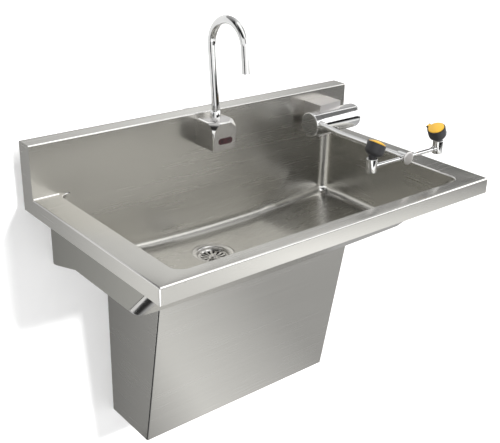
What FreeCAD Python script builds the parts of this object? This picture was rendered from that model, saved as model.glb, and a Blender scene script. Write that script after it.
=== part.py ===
import FreeCAD, Part
import math
import os

# Wall-hung laboratory sink with a hands-free gooseneck faucet and a swing-down eyewash.
# Millimetres. Origin: on the wall plane, at the middle of the unit's width, level with the
# deck's top face. +X is to the right of someone at the sink, +Y into the wall, +Z up.

# ---------------------------------------------------------------- driving dimensions
UNIT_W = 1016.0  # width of the deck
UNIT_D = 590.0  # wall to the front of the apron
SHEET = 2.0  # stainless sheet of deck, splash and bowl
APRON_H = 40.0  # turned-down edge of the deck
APRON_HEM = 14.0  # return flange along the bottom of the apron
BEND_R = 4.0  # outer radius of the sheet's bends
SPLASH_H = 135.0
SPLASH_D = 50.0  # thickness of the splash, wall to front face
SPLASH_HEM = 28.0  # turned-down rear edge of the splash
LEDGE_SIDE = 68.0  # deck left of and right of the bowl
LEDGE_FRONT = 40.0
LIP_H = 12.0  # rolled edge of the bowl opening
CORNER_R = 28.0  # bowl corners in plan

BOWL_END_DEPTH = 190.0  # floor at the bowl's two ends
BOWL_LOW_DEPTH = 213.0  # floor at its lowest, in the middle
BOWL_FRONT_UPRIGHT = 16.0  # upright part of the front wall, above its 45 degree slope
COVE_R = 27.0  # cove between floor and walls
DRAIN_X = -71.5
DRAIN_Y = -174.0
SEAT_DIP = 2.0  # recess in the floor that the drain flange lies in

BRACKET_T = 3.0
BRACKET_WALL_H = 205.0  # depth of the side brackets at the wall
BRACKET_RUN_H = 174.0  # depth of the side brackets under the bowl
BRACKET_HEEL = 118.0  # length of the deeper part at the wall
BRACKET_TOE = 363.0  # where the lower edge turns up
BRACKET_FLANGE = 45.0
WALL_BOLT_R = 5.0
WALL_BOLT_X = 424.0
WALL_BOLT_Z = 72.0
LOWER_BOLT_Z = 170.0
RAIL_MARGIN = 18.0  # wall rail beyond its bolts

SKIRT_LEFT = -296.0
SKIRT_RIGHT = 350.0
SKIRT_BOTTOM = 715.0
SKIRT_TOP_D = 264.0  # front of the shroud under the bowl
SKIRT_FOOT_D = 180.0  # front of the shroud at its foot
SKIRT_T = 1.5
SKIRT_FLANGE = 22.0
SKIRT_BOLT_R = 3.0
SKIRT_BOLTS_Z = (-640.0, -290.0)

FLANGE_R = 57.0  # drain flange, 4 1/2 inch
THROAT_R = 41.5  # inside of the drain cup, 3 1/2 inch opening
WASTE_R = 19.05  # waste tube, 1 1/2 inch
CUP_H = 52.0
BASKET_R = THROAT_R - 0.5
BASKET_DISH_R = THROAT_R - 4.0
BASKET_LEDGE = -7.0  # height of the ledge it rests on, from the drain's seat
BASKET_FLOOR = -12.0
BASKET_SLOTS = 14
SLOT_REACH = (13.0, 31.0)
SLOT_W = 3.2
TAIL_TOP = -CUP_H - 24.0  # top of the tailpiece, from the drain's seat
TRAP_JOIN = 92.0  # drain cup's foot to the trap's inlet
TRAP_DIP = 40.0  # straight part of the trap's inlet
TRAP_R = 44.0
TRAP_ARM_Z = -352.0
TRAP_ARM_BARE = 30.0  # length of the arm that a wall pipe takes
NUT_AF = 52.0

HOUSING_W = 78.0  # sensor housing
HOUSING_D = 79.0
HOUSING_Z = (50.0, 123.0)
HOUSING_EDGE_R = 5.0
SHOULDER_R = 38.0  # its two upper front corners are rounded off on the diagonal
SHOULDER_Z = 90.0
SPOUT_R = 11.1
SPOUT_Y = -84.5
SPOUT_KNEE_Z = 160.0  # above this the gooseneck leans back a little
SPOUT_LEAN = 6.5
SPOUT_LEG = 150.0
SPOUT_SPREAD_R = 68.0
SPOUT_OUTLET_LEG = 60.0
SPOUT_SEAT_Z = 100.0
COLLAR_R = 13.5
COLLAR_TOP = 145.0
WINDOW_W = 46.0
WINDOW_H = 17.0
WINDOW_Z = 72.5
WINDOW_T = 3.0
SHANK_R = 9.0
FAUCET_PORT_Z = 86.0
LOCKNUT_T = 8.0
LOCKNUT_AF = 30.0
CABLE_X = 24.0
CABLE_Z = 70.0
CABLE_Y = -42.0
CABLE_GLAND_R = 5.0

STOP_Z = -520.0  # supplies behind the shroud
STOP_X = (60.0, 200.0)
STOP_R = 11.0
STOP_BORE_R = 7.95
STOP_OUT_Y = -42.0
STOP_FRONT_Y = -60.0
STOP_NUT_TOP = 26.0
STOP_STEM_R = 3.5
VALVE_X = (96.0, 164.0)
VALVE_Z = -400.0
VALVE_R = 21.0
VALVE_NUT_W = 14.0
VALVE_PORT_TOP = VALVE_Z + 34.0
MIXED_X = (112.0, 150.0)  # outlets of the mixing valve
CONTROL_X = (236.0, 330.0)
CONTROL_Y = (-76.0, -4.0)
CONTROL_Z = (-330.0, -244.0)
CONTROL_WALL = 2.5
CONTROL_INLET_Z = -280.0
LID_T = 3.0
PORT_DROP = 22.0
FAUCET_LINE_Y = -30.0
FAUCET_LINE_TURN_Z = -60.0
EYE_LINE_Y = -16.0
EYE_LINE_TURN_Z = -110.0
LINE_R = 5.0
EYE_LINE_R = 6.35

BARREL_R = 35.0  # eyewash valve barrel
BARREL_Y = -103.0
BARREL_Z = 53.0
BARREL_X = (348.0, 500.0)
HUB_W = 28.0  # the part of the barrel that turns with the arm
CAP_W = 20.0
CAP_EASE = 12.0
CHAMBER = (388.0, 428.0)  # room in the barrel for the valve's ball
BALL_R = 15.0
STEM_R = 9.0
EYE_PORT_X = 410.0
BLOCK_RIGHT = 437.0
BLOCK_D = 66.0  # at its left side; the front tapers back to the right
BLOCK_TAPER = 10.0
BLOCK_Z = (15.0, 107.0)
ARM_R = 8.0
ARM_IN_HUB = 13.0  # arm's centre line to the plane where hub and barrel meet
ARM_RISE = 6.6  # the arm leaves the hub this much above the hub's axis
ARM_KNEE = 76.0  # hub to the middle of the arm's long bend
ARM_BEND_R = 300.0
HEAD_Y = -452.0
TEE_DROP = 0.5  # cross tubes below the barrel's axis
TEE_R = 12.5
PLUG_R = 17.5
HEAD_SPREAD = 126.0  # tee to each spray head
CROSS_R = 5.5
BOSS_R = 8.0  # sleeves that hold the cross tubes
SOCKET_R = 13.8
SOCKET_H = 36.0
SOCKET_RISE = 22.5  # top of the socket above the cross tubes
NECK_R = 9.0
NECK_IN = 8.0  # how far the neck goes into its socket
HEAD_RISE = 6.0  # upright neck between socket and leaning cup
HEAD_TILT = 26.0
CUP_R = 24.0
RIM_W = 33.0  # height of a cup's rim along its axis
CUP_DISH = 10.0  # the spray face lies this far under the rim
COVER_R = 21.0
COVER_CROWN = 5.0
PIN_R = 1.2
KNUCKLE_R = 2.3
EAR_IN = 4.5
EAR_OUT = 7.0

RUN = 0.05  # radial clearance of a turning shaft
GAP = 0.3  # clearance between faces that move past each other
WALL_TUBE = 1.5

V = FreeCAD.Vector
AX = V(1, 0, 0)
AY = V(0, 1, 0)
AZ = V(0, 0, 1)

HALF_W = UNIT_W / 2
OPEN_X = HALF_W - LEDGE_SIDE
OPEN_FRONT = -(UNIT_D - LEDGE_FRONT)
ARM_X = BARREL_X[0] - ARM_IN_HUB
TEE_Z = BARREL_Z - TEE_DROP
COVER_W = RIM_W + GAP
PIN_V = CUP_R + KNUCKLE_R + GAP
PIN_W = RIM_W + 0.5
DRAIN_SEAT = -BOWL_LOW_DEPTH - SEAT_DIP
TRAP_JOIN_Z = DRAIN_SEAT - CUP_H - TRAP_JOIN
TRAP_END_Y = DRAIN_Y + 3 * TRAP_R + 4.0  # mouth of the elbow, 5 mm past its bend

parts = {}


# ---------------------------------------------------------------- helpers
def block(x0, x1, y0, y1, z0, z1):
    return Part.makeBox(x1 - x0, y1 - y0, z1 - z0, V(x0, y0, z0))


def rod(start, end, radius):
    way = end - start
    return Part.makeCylinder(radius, way.Length, start, way)


def ring(start, end, outer, inner):
    return rod(start, end, outer).cut(rod(start, end, inner))


def hexagon(start, end, across_flats):
    """A hexagonal nut blank from start to end."""
    way = end - start
    side = V(way).normalize().cross(AZ)
    if side.Length < 0.1:
        side = V(AX)
    side.normalize()
    turn = FreeCAD.Rotation(way, 60)
    corner = side * (across_flats / math.sqrt(3))
    corners = []
    for _ in range(6):
        corners.append(start + corner)
        corner = turn.multVec(corner)
    return Part.Face(Part.makePolygon(corners + corners[:1])).extrude(way)


def prism(outline, way):
    """A closed outline of points, extruded along way."""
    return Part.Face(Part.makePolygon(outline + outline[:1])).extrude(way)


def turned(profile, foot=V(0, 0, 0), axis=AZ, side=AX):
    """A closed profile of (radius, height) points, turned about axis through foot."""
    points = [foot + side * r + axis * h for r, h in profile]
    face = Part.Face(Part.makePolygon(points + points[:1]))
    return face.revolve(foot, axis, 360)


def edges_where(shape, test):
    return [e for e in shape.Edges if test(e, e.BoundBox)]


def section(centre, way, outer, inner):
    """The cross-section of a tube, or of a rod where inner is 0."""
    rim = Part.Face(Part.Wire(Part.makeCircle(outer, centre, way)))
    if inner == 0:
        return rim
    return rim.cut(Part.Face(Part.Wire(Part.makeCircle(inner, centre, way)))).Faces[0]


def bent(points, bend, outer, inner=0.0):
    """Straight runs joined by tangent arcs of one bend radius."""
    lengths = []
    start = points[0]
    for before, corner, after in zip(points, points[1:], points[2:]):
        into = (corner - before).normalize()
        out = (after - corner).normalize()
        half_turn = into.getAngle(out) / 2
        back = bend * math.tan(half_turn)
        arc_start = corner - into * back
        if (arc_start - start).Length > 0.01:
            lengths.append(section(start, into, outer, inner).extrude(arc_start - start))
        hinge = into.cross(out).normalize()
        centre = arc_start + hinge.cross(into) * bend
        turn = math.degrees(2 * half_turn)
        lengths.append(section(arc_start, into, outer, inner).revolve(centre, hinge, turn))
        start = corner + out * back
    end = points[-1]
    lengths.append(section(start, out, outer, inner).extrude(end - start))
    return lengths[0].fuse(lengths[1:]).removeSplitter()


def mirrored(shape):
    return shape.mirror(V(0, 0, 0), AX)


# ---------------------------------------------------------------- deck
def deck_block(inset):
    """The deck as a solid block with a rounded rim and opening, inset by a sheet's thickness."""
    r = BEND_R - inset
    rim = HALF_W - inset
    front = -UNIT_D + inset
    solid = block(-rim, rim, front, -SHEET, -APRON_H - inset, -inset)
    corners = edges_where(solid, lambda e, b: b.ZLength > 10 and b.YMax < front + 1)
    solid = solid.makeFillet(r, corners)
    side = OPEN_X + inset
    hole = block(-side, side, OPEN_FRONT - inset, -SPLASH_D + inset, -APRON_H - 9, 9)
    hole = hole.makeFillet(CORNER_R + inset, edges_where(hole, lambda e, b: b.ZLength > 10))
    solid = solid.cut(hole)
    top = edges_where(solid, lambda e, b: b.ZMin > -inset - 0.01 and b.YMin < -SHEET - 1)
    return solid.makeFillet(r, top)


def make_deck():
    sheet = deck_block(0).cut(deck_block(SHEET))
    inner = HALF_W - SHEET
    under = block(-inner, inner, -UNIT_D + SHEET, 0, -APRON_H - 1, -LIP_H)
    sheet = sheet.cut(under)
    hem = block(-inner, inner, -UNIT_D + SHEET, 0, -APRON_H, -APRON_H + SHEET)
    reach = HALF_W - APRON_HEM
    hem = hem.cut(block(-reach, reach, -UNIT_D + APRON_HEM, 1, -APRON_H - 1, 0))
    sheet = sheet.cut(block(-HALF_W - 1, HALF_W + 1, -SPLASH_D, 1, -APRON_H - 1, 1))
    tails = [block(s - SHEET, s, -SPLASH_D, 0, -APRON_H, 0) for s in (-inner, HALF_W)]
    return sheet.fuse([hem] + tails).removeSplitter()


# ---------------------------------------------------------------- splash
def splash_core(inset, x0, x1):
    core = block(x0, x1, -SPLASH_D + inset, -inset, -LIP_H - inset, SPLASH_H - inset)
    along = edges_where(core, lambda e, b: b.XLength > 100 and b.ZMin > 0)
    return core.makeFillet(BEND_R - inset, along)


def cove_strip(x0, x1):
    """The small inside radius where the splash rises from the deck."""
    strip = block(x0, x1, -SPLASH_D - BEND_R, -SPLASH_D, 0, BEND_R)
    centre = V(x0 - 1, -SPLASH_D - BEND_R, BEND_R)
    return strip.cut(rod(centre, centre + V(x1 - x0 + 2, 0, 0), BEND_R))


def make_splash():
    inner = HALF_W - SHEET
    shell = splash_core(0, -inner, inner).cut(splash_core(SHEET, -inner - 1, inner + 1))
    reach = OPEN_X - CORNER_R
    shell = shell.cut(block(-inner, -reach, -SPLASH_D, 0, -LIP_H, 0))
    shell = shell.cut(block(reach, inner, -SPLASH_D, 0, -LIP_H, 0))
    shell = shell.cut(block(-inner, inner, -SHEET, 1, -LIP_H - 1, SPLASH_H - SPLASH_HEM))
    for x0, x1 in ((-inner, -OPEN_X), (OPEN_X, inner)):
        shell = shell.fuse(cove_strip(x0, x1))
    faucet_hole = (0, FAUCET_PORT_Z, SHANK_R)
    eyewash_hole = (EYE_PORT_X, BARREL_Z, SHANK_R)
    cable_hole = (CABLE_X, CABLE_Z, CABLE_GLAND_R)
    for x, z, r in (faucet_hole, eyewash_hole, cable_hole):
        shell = shell.cut(rod(V(x, -SPLASH_D - 1, z), V(x, -SPLASH_D + SHEET + 1, z), r))
    return shell.removeSplitter()


def make_splash_end():
    plate = block(-HALF_W, -HALF_W + SHEET, -SPLASH_D, 0, 0, SPLASH_H)
    top = edges_where(plate, lambda e, b: b.XLength > 1 and b.ZMin > 1 and e.BoundBox.ZLength < 0.1)
    return plate.makeFillet(BEND_R, top)


# ---------------------------------------------------------------- bowl
def bowl_space(grow):
    """The room inside the bowl, grown outwards by a sheet's thickness for its outside."""
    side = OPEN_X + grow
    back = -SPLASH_D + grow
    front = OPEN_FRONT - grow
    end = V(-side, 0, -BOWL_END_DEPTH - grow)
    low = V(0, 0, -BOWL_LOW_DEPTH - grow)
    far = V(side, 0, -BOWL_END_DEPTH - grow)
    floor = Part.Arc(end, low, far).toShape()
    walls = Part.makePolygon([far, V(side, 0, 0), V(-side, 0, 0), end])
    length = Part.Face(Part.Wire([floor] + walls.Edges))
    length.translate(V(0, front - 20, 0))
    length = length.extrude(V(0, back - front + 40, 0))
    slope = OPEN_FRONT - BOWL_FRONT_UPRIGHT - grow * math.sqrt(2)  # y + z on the sloping wall
    deep = -BOWL_LOW_DEPTH - 60
    outline = ((back, 0), (back, deep), (slope - deep, deep), (front, slope - front), (front, 0))
    space = length.common(prism([V(-side, y, z) for y, z in outline], V(2 * side, 0, 0)))
    upright = edges_where(space, lambda e, b: b.XLength < 0.1 and b.ZLength > 5 and b.ZMax < 1)
    space = space.makeFillet(CORNER_R + grow, upright)
    floor_face = min(space.Faces, key=lambda f: f.CenterOfMass.z)
    space = space.makeFillet(COVE_R + grow, floor_face.Edges)
    seat = V(DRAIN_X, DRAIN_Y, DRAIN_SEAT - grow)
    return space.fuse(rod(seat, seat + V(0, 0, 12), FLANGE_R + 1 + grow))


def make_bowl():
    shell = bowl_space(SHEET).cut(bowl_space(0))
    shell = shell.cut(block(-HALF_W, HALF_W, -UNIT_D, 0, -LIP_H, 10))
    hole = V(DRAIN_X, DRAIN_Y, DRAIN_SEAT - 20)
    shell = shell.cut(rod(hole, hole + V(0, 0, 40), THROAT_R + 2.2))
    return shell.removeSplitter()


# ---------------------------------------------------------------- brackets and wall rail
def make_bracket():
    """Side plate that carries the bowl, with a flange for two wall bolts."""
    outer = -OPEN_X - SHEET - BRACKET_T
    top = -BEND_R
    toe_top = BRACKET_TOE + BRACKET_RUN_H + top
    heel = ((0, top), (0, -BRACKET_WALL_H), (-14, -BRACKET_WALL_H + 2), (-BRACKET_HEEL, -BRACKET_RUN_H))
    toe = ((-BRACKET_TOE, -BRACKET_RUN_H), (-toe_top, top))
    plate = prism([V(outer, y, z) for y, z in heel + toe], V(BRACKET_T, 0, 0))
    flange = block(outer, outer + BRACKET_FLANGE, -BRACKET_T, 0, -BRACKET_WALL_H + 1, -LIP_H)
    bracket = plate.fuse(flange)
    for z in (-WALL_BOLT_Z, -LOWER_BOLT_Z):
        bracket = bracket.cut(rod(V(-WALL_BOLT_X, -BRACKET_T - 1, z), V(-WALL_BOLT_X, 1, z), WALL_BOLT_R))
    return bracket.removeSplitter()


def make_wall_rail():
    """Rail on the wall whose upturned lip carries the splash."""
    t = BRACKET_T
    stand = BEND_R
    lip_top = SPLASH_H - SHEET
    knee = SPLASH_H - SPLASH_HEM - 8
    foot = WALL_BOLT_Z - RAIL_MARGIN
    back = ((0, foot), (0, knee), (-stand, knee + stand), (-stand, lip_top))
    front = ((-stand - t, lip_top), (-stand - t, knee + stand - t / 2), (-t, knee - t / 2), (-t, foot))
    reach = WALL_BOLT_X + RAIL_MARGIN
    rail = prism([V(-reach, y, z) for y, z in back + front], V(2 * reach, 0, 0))
    for x in (-WALL_BOLT_X, WALL_BOLT_X):
        rail = rail.cut(rod(V(x, -t - 1, WALL_BOLT_Z), V(x, 1, WALL_BOLT_Z), WALL_BOLT_R))
    return rail


# ---------------------------------------------------------------- shroud under the bowl
def skirt_core(inset):
    """The shroud as a solid, its front leaning in towards the foot, inset by a sheet's thickness."""
    lean = (SKIRT_TOP_D - SKIRT_FOOT_D) / (SKIRT_BOTTOM - BOWL_LOW_DEPTH)
    top = -BOWL_END_DEPTH + 2 + inset
    foot = -SKIRT_BOTTOM - inset

    def front(z):
        return -SKIRT_FOOT_D + inset - lean * (z + SKIRT_BOTTOM)

    outline = ((inset, top), (inset, foot), (front(foot), foot), (front(top), top))
    x0 = SKIRT_LEFT + inset
    core = prism([V(x0, y, z) for y, z in outline], V(SKIRT_RIGHT - inset - x0, 0, 0))
    corners = edges_where(core, lambda e, b: b.ZLength > 100 and b.YMax < -50)
    return core.makeFillet(BEND_R - inset, corners)


def make_skirt():
    core = skirt_core(0)
    shell = core.cut(skirt_core(SKIRT_T))
    hem = core.common(block(-HALF_W, HALF_W, -UNIT_D, 0, -SKIRT_BOTTOM, -SKIRT_BOTTOM + SKIRT_T))
    left = SKIRT_LEFT + APRON_HEM
    right = SKIRT_RIGHT - APRON_HEM
    hem = hem.cut(block(left, right, -SKIRT_FOOT_D + APRON_HEM, 1, -SKIRT_BOTTOM - 1, -SKIRT_BOTTOM + 9))
    shell = shell.fuse(hem)
    for x0 in (SKIRT_LEFT, SKIRT_RIGHT - SKIRT_FLANGE):
        x1 = x0 + SKIRT_FLANGE
        flange = block(x0, x1, -SKIRT_T, 0, -SKIRT_BOTTOM, -BOWL_LOW_DEPTH - 20)
        for z in SKIRT_BOLTS_Z:
            centre = V((x0 + x1) / 2, 0, z)
            flange = flange.cut(rod(centre - AY * 5, centre + AY * 5, SKIRT_BOLT_R))
        shell = shell.fuse(flange)
    return shell.cut(bowl_space(SHEET)).removeSplitter()


# ---------------------------------------------------------------- drain and trap
def drain_at(height):
    return V(DRAIN_X, DRAIN_Y, DRAIN_SEAT + height)


def make_drain_flange():
    """Dished flange, cup and outlet, turned in one piece, with a ledge for the basket."""
    throat = THROAT_R
    ledge = throat - 2.5
    outside = throat + 1.8
    profile = [
        (outside, 0),
        (FLANGE_R, 0),
        (FLANGE_R, 1.2),
        (FLANGE_R - 2, 2.6),
        (FLANGE_R - 7, 2.2),
        (throat + 3, 1.2),
        (throat + 0.8, -0.6),
        (throat, -2.5),
        (throat, BASKET_LEDGE),
        (ledge, BASKET_LEDGE),
        (ledge, -CUP_H + 8),
        (WASTE_R + 2, -CUP_H),
        (WASTE_R, -CUP_H - 2),
        (WASTE_R, -CUP_H - 22),
        (WASTE_R + 3, -CUP_H - 22),
        (WASTE_R + 3, -CUP_H - 3),
        (outside, -CUP_H + 6),
    ]
    return turned(profile, drain_at(0))


def make_drain_gasket():
    return ring(drain_at(-SHEET - 3), drain_at(-SHEET), FLANGE_R, THROAT_R + 2.1)


def make_drain_locknut():
    inner = THROAT_R + 1.85
    nut = ring(drain_at(-SHEET - 13), drain_at(-SHEET - 3), THROAT_R + 10, inner)
    for turn in range(6):
        lug = block(THROAT_R + 7, THROAT_R + 14, -5, 5, -SHEET - 13, -SHEET - 3)
        lug.rotate(V(0, 0, 0), AZ, 60 * turn)
        lug.translate(drain_at(0))
        nut = nut.fuse(lug)
    return nut.removeSplitter()


def make_basket():
    """Lift-out strainer: rim, a shallow dish of radial slots and a low knob to lift it by."""
    floor = BASKET_FLOOR + 1.6
    foot = BASKET_LEDGE - 1.5
    profile = [
        (0, BASKET_FLOOR),
        (BASKET_DISH_R - 12, BASKET_FLOOR),
        (BASKET_DISH_R, foot),
        (BASKET_DISH_R, BASKET_LEDGE),
        (BASKET_R, BASKET_LEDGE),
        (BASKET_R, BASKET_LEDGE + 1.6),
        (BASKET_R - 1.5, BASKET_LEDGE + 2.5),
        (BASKET_R - 5, BASKET_LEDGE + 2.5),
        (BASKET_DISH_R - 4, foot + 0.8),
        (BASKET_DISH_R - 12, floor),
        (8, floor),
        (4.5, floor + 2),
        (4, floor + 4),
        (7.5, floor + 6),
        (6.5, floor + 8),
        (0, floor + 9),
    ]
    basket = turned(profile, drain_at(0))
    inner, outer = SLOT_REACH
    low = BASKET_FLOOR - 2
    half = SLOT_W / 2
    slots = []
    for turn in range(BASKET_SLOTS):
        slot = block(inner, outer, -half, half, low, 0)
        for x in SLOT_REACH:
            slot = slot.fuse(rod(V(x, 0, low), V(x, 0, 0), half))
        slot.rotate(V(0, 0, 0), AZ, 360 / BASKET_SLOTS * turn)
        slot.translate(drain_at(0))
        slots.append(slot)
    return basket.cut(slots).removeSplitter()


def make_tailpiece():
    top = drain_at(TAIL_TOP)
    end = V(DRAIN_X, DRAIN_Y, TRAP_JOIN_Z)
    collar = ring(top, top + V(0, 0, 2), WASTE_R + 2.8, WASTE_R - WALL_TUBE)
    return ring(end, top, WASTE_R, WASTE_R - WALL_TUBE).fuse(collar).removeSplitter()


def waste_nut(low, high, bore):
    return hexagon(low, high, NUT_AF).cut(rod(low, high, bore))


def make_slip_nuts():
    """Nuts at the drain outlet, at the trap's inlet and at its outlet."""
    outlet = drain_at(-CUP_H - 22)
    upper = waste_nut(outlet - V(0, 0, 6), outlet + V(0, 0, 14), WASTE_R + 3.05)
    upper = upper.fuse(ring(outlet - V(0, 0, 8), outlet - V(0, 0, 6), WASTE_R + 6, WASTE_R + RUN))
    join = V(DRAIN_X, DRAIN_Y, TRAP_JOIN_Z)
    middle = waste_nut(join, join + V(0, 0, 16), WASTE_R + RUN)
    return Part.makeCompound([upper.removeSplitter(), middle])


def make_trap():
    """The U bend, its rise and the elbow towards the wall."""
    bottom = TRAP_JOIN_Z - TRAP_DIP - TRAP_R
    rise_y = DRAIN_Y + 2 * TRAP_R
    path = [
        V(DRAIN_X, DRAIN_Y, TRAP_JOIN_Z),
        V(DRAIN_X, DRAIN_Y, bottom),
        V(DRAIN_X, rise_y, bottom),
        V(DRAIN_X, rise_y, TRAP_ARM_Z),
        V(DRAIN_X, TRAP_END_Y, TRAP_ARM_Z),
    ]
    return bent(path, TRAP_R - 1, WASTE_R + 1, WASTE_R - 1)


def make_trap_arm():
    """Waste tube to the wall; its bare end is what the wall's pipe takes."""
    start = V(DRAIN_X, TRAP_END_Y, TRAP_ARM_Z)
    end = V(DRAIN_X, 0, TRAP_ARM_Z)
    arm = ring(start, end, WASTE_R, WASTE_R - WALL_TUBE)
    nut = ring(start, V(DRAIN_X, -TRAP_ARM_BARE, TRAP_ARM_Z), WASTE_R + 6, WASTE_R)
    return arm.fuse(nut).removeSplitter()


# ---------------------------------------------------------------- faucet
def window_solid(depth, grow):
    """Pill-shaped window let into the front of the sensor housing."""
    front = -SPLASH_D - HOUSING_D
    r = WINDOW_H / 2 + grow
    reach = WINDOW_W / 2 - WINDOW_H / 2
    pill = block(-reach, reach, front, front + depth, WINDOW_Z - r, WINDOW_Z + r)
    for x in (-reach, reach):
        pill = pill.fuse(rod(V(x, front, WINDOW_Z), V(x, front + depth, WINDOW_Z), r))
    return pill.removeSplitter()


def shoulder_cut(side):
    """What is taken off an upper front corner of the housing, rounding it on the diagonal."""
    reach = 2 * SHOULDER_R
    depth = HOUSING_EDGE_R * (math.sqrt(2) - 1)  # the upright edge is already eased by this much
    middle = V(-depth - SHOULDER_R, 0, SHOULDER_Z)
    cut = block(middle.x, 9, -reach, reach, SHOULDER_Z, HOUSING_Z[1] + 9)
    cut = cut.cut(rod(middle - AY * reach, middle + AY * reach, SHOULDER_R))
    cut.rotate(V(0, 0, 0), AZ, -45 if side > 0 else -135)
    cut.translate(V(side * HOUSING_W / 2, -SPLASH_D - HOUSING_D, 0))
    return cut


def make_housing():
    """Sensor housing: an eased box with its two upper front corners rounded off."""
    z0, z1 = HOUSING_Z
    back = -SPLASH_D
    front = back - HOUSING_D
    half = HOUSING_W / 2
    housing = block(-half, half, front, back, z0, z1)
    corners = edges_where(housing, lambda e, b: b.ZLength > 9 and b.YMax < back - 1)
    housing = housing.makeFillet(HOUSING_EDGE_R, corners)
    housing = housing.cut([shoulder_cut(side) for side in (-1, 1)])
    rim = edges_where(housing, lambda e, b: b.ZMin > z1 - 0.01 and b.YMin < back - 1)
    housing = housing.makeFillet(HOUSING_EDGE_R, rim)
    housing = housing.cut(window_solid(WINDOW_T, 0))
    seat = V(0, SPOUT_Y, z1 - 2)
    housing = housing.cut(rod(seat, seat + V(0, 0, 9), COLLAR_R))
    return housing.cut(rod(V(0, SPOUT_Y, SPOUT_SEAT_Z), V(0, SPOUT_Y, z1 + 5), SPOUT_R + RUN))


def make_spout_collar():
    foot = V(0, SPOUT_Y, HOUSING_Z[1] - 2)
    height = COLLAR_TOP - foot.z
    bore = SPOUT_R + RUN
    neck = ((COLLAR_R, height - 3), (SPOUT_R + 1, height), (bore, height))
    return turned([(bore, 0), (COLLAR_R, 0), *neck], foot)


def spout_path():
    """Foot, knee, the gooseneck's two crown corners and its mouth."""
    lean = FreeCAD.Rotation(AX, -SPOUT_LEAN)
    knee = V(0, SPOUT_Y, SPOUT_KNEE_Z)
    crown = knee + lean.multVec(V(0, 0, SPOUT_LEG + SPOUT_SPREAD_R))
    over = crown + lean.multVec(V(0, -2 * SPOUT_SPREAD_R, 0))
    mouth = over - lean.multVec(V(0, 0, SPOUT_SPREAD_R + SPOUT_OUTLET_LEG))
    return V(0, SPOUT_Y, SPOUT_SEAT_Z + GAP), knee, crown, over, mouth


def make_spout():
    return bent(spout_path(), SPOUT_SPREAD_R, SPOUT_R, SPOUT_R - WALL_TUBE)


def make_outlet_insert():
    """Laminar outlet: a disc of small round holes, set just inside the spout's mouth."""
    disc = rod(V(0, 0, 1), V(0, 0, 11), SPOUT_R - WALL_TUBE)
    holes = []
    for turn in range(6):
        side = FreeCAD.Rotation(AZ, 60 * turn).multVec(V(5.2, 0, 0))
        holes.append(rod(side, side + V(0, 0, 12), 1.4))
    disc = disc.cut(holes)
    disc.rotate(V(0, 0, 0), AX, -SPOUT_LEAN)
    disc.translate(spout_path()[-1])
    return disc


def shank(x, y_end, z, port_y):
    """Threaded inlet behind a fitting, with a port pointing down for its supply tube."""
    body = rod(V(x, -SPLASH_D, z), V(x, y_end, z), SHANK_R)
    port = rod(V(x, port_y, z), V(x, port_y, z - PORT_DROP), 7.0)
    return body.fuse(port).removeSplitter()


def locknut(x, z):
    start = V(x, -SPLASH_D + SHEET, z)
    end = start + V(0, LOCKNUT_T, 0)
    return hexagon(start, end, LOCKNUT_AF).cut(rod(start, end, SHANK_R))


# ---------------------------------------------------------------- supplies inside the shroud
def make_stop(x):
    """Quarter-turn stop: wall socket, body, bonnet and a port upwards."""
    body = rod(V(x, STOP_FRONT_Y, STOP_Z), V(x, 0, STOP_Z), STOP_R)
    port = rod(V(x, STOP_OUT_Y, STOP_Z), V(x, STOP_OUT_Y, STOP_Z + 20), 8.0)
    nut = hexagon(V(x, STOP_OUT_Y, STOP_Z + 14), V(x, STOP_OUT_Y, STOP_Z + STOP_NUT_TOP), 20)
    body = body.fuse([port, nut])
    body = body.cut(rod(V(x, -24, STOP_Z), V(x, 1, STOP_Z), STOP_BORE_R))
    stem_bore = rod(V(x, STOP_FRONT_Y - 1, STOP_Z), V(x, STOP_FRONT_Y + 14, STOP_Z), STOP_STEM_R + RUN)
    return body.cut(stem_bore).removeSplitter()


def make_stop_handle(x):
    """Oval handle on its stem."""
    stem = rod(V(x, STOP_FRONT_Y + 13, STOP_Z), V(x, STOP_FRONT_Y - 4, STOP_Z), STOP_STEM_R)
    face = STOP_FRONT_Y - GAP - 0.2
    oval = Part.Wire(Part.Ellipse(V(0, 0, 0), 17, 9).toShape())
    knob = Part.Face(oval).extrude(V(0, 0, 13))
    knob.rotate(V(0, 0, 0), AX, 90)
    knob.translate(V(x, face, STOP_Z))
    return knob.fuse(stem).removeSplitter()


def make_mixing_valve():
    """Thermostatic valve: hot and cold enter its two ends, mixed water leaves upwards."""
    x0, x1 = VALVE_X
    y = STOP_OUT_Y
    body = rod(V(x0, y, VALVE_Z), V(x1, y, VALVE_Z), VALVE_R)
    nuts = [hexagon(V(x, y, VALVE_Z), V(x + VALVE_NUT_W, y, VALVE_Z), 24) for x in (x0 - VALVE_NUT_W, x1)]
    ports = [rod(V(x, y, VALVE_Z), V(x, y, VALVE_PORT_TOP), 8.5) for x in MIXED_X]
    return body.fuse(nuts + ports).removeSplitter()


def make_riser(x, side):
    """Tube from a stop up to one end of the mixing valve."""
    y = STOP_OUT_Y
    end_x = VALVE_X[0] - VALVE_NUT_W if side < 0 else VALVE_X[1] + VALVE_NUT_W
    path = [V(x, y, STOP_Z + STOP_NUT_TOP), V(x, y, VALVE_Z), V(end_x, y, VALVE_Z)]
    return bent(path, 14.0, LINE_R, LINE_R - 1)


def make_control_box():
    x0, x1 = CONTROL_X
    y0, y1 = CONTROL_Y
    z0, z1 = CONTROL_Z
    box = block(x0, x1, y0 + LID_T, y1, z0, z1)
    box = box.makeFillet(4, edges_where(box, lambda e, b: b.YLength > 20))
    w = CONTROL_WALL
    inside = block(x0 + w, x1 - w, y0, y1 - w, z0 + w, z1 - w)
    feet = [block(x, x + 14, y1, 0, z, z + 14) for x in (x0 + 4, x1 - 18) for z in (z0 + 4, z1 - 18)]
    return box.cut(inside).fuse(feet).removeSplitter()


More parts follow.
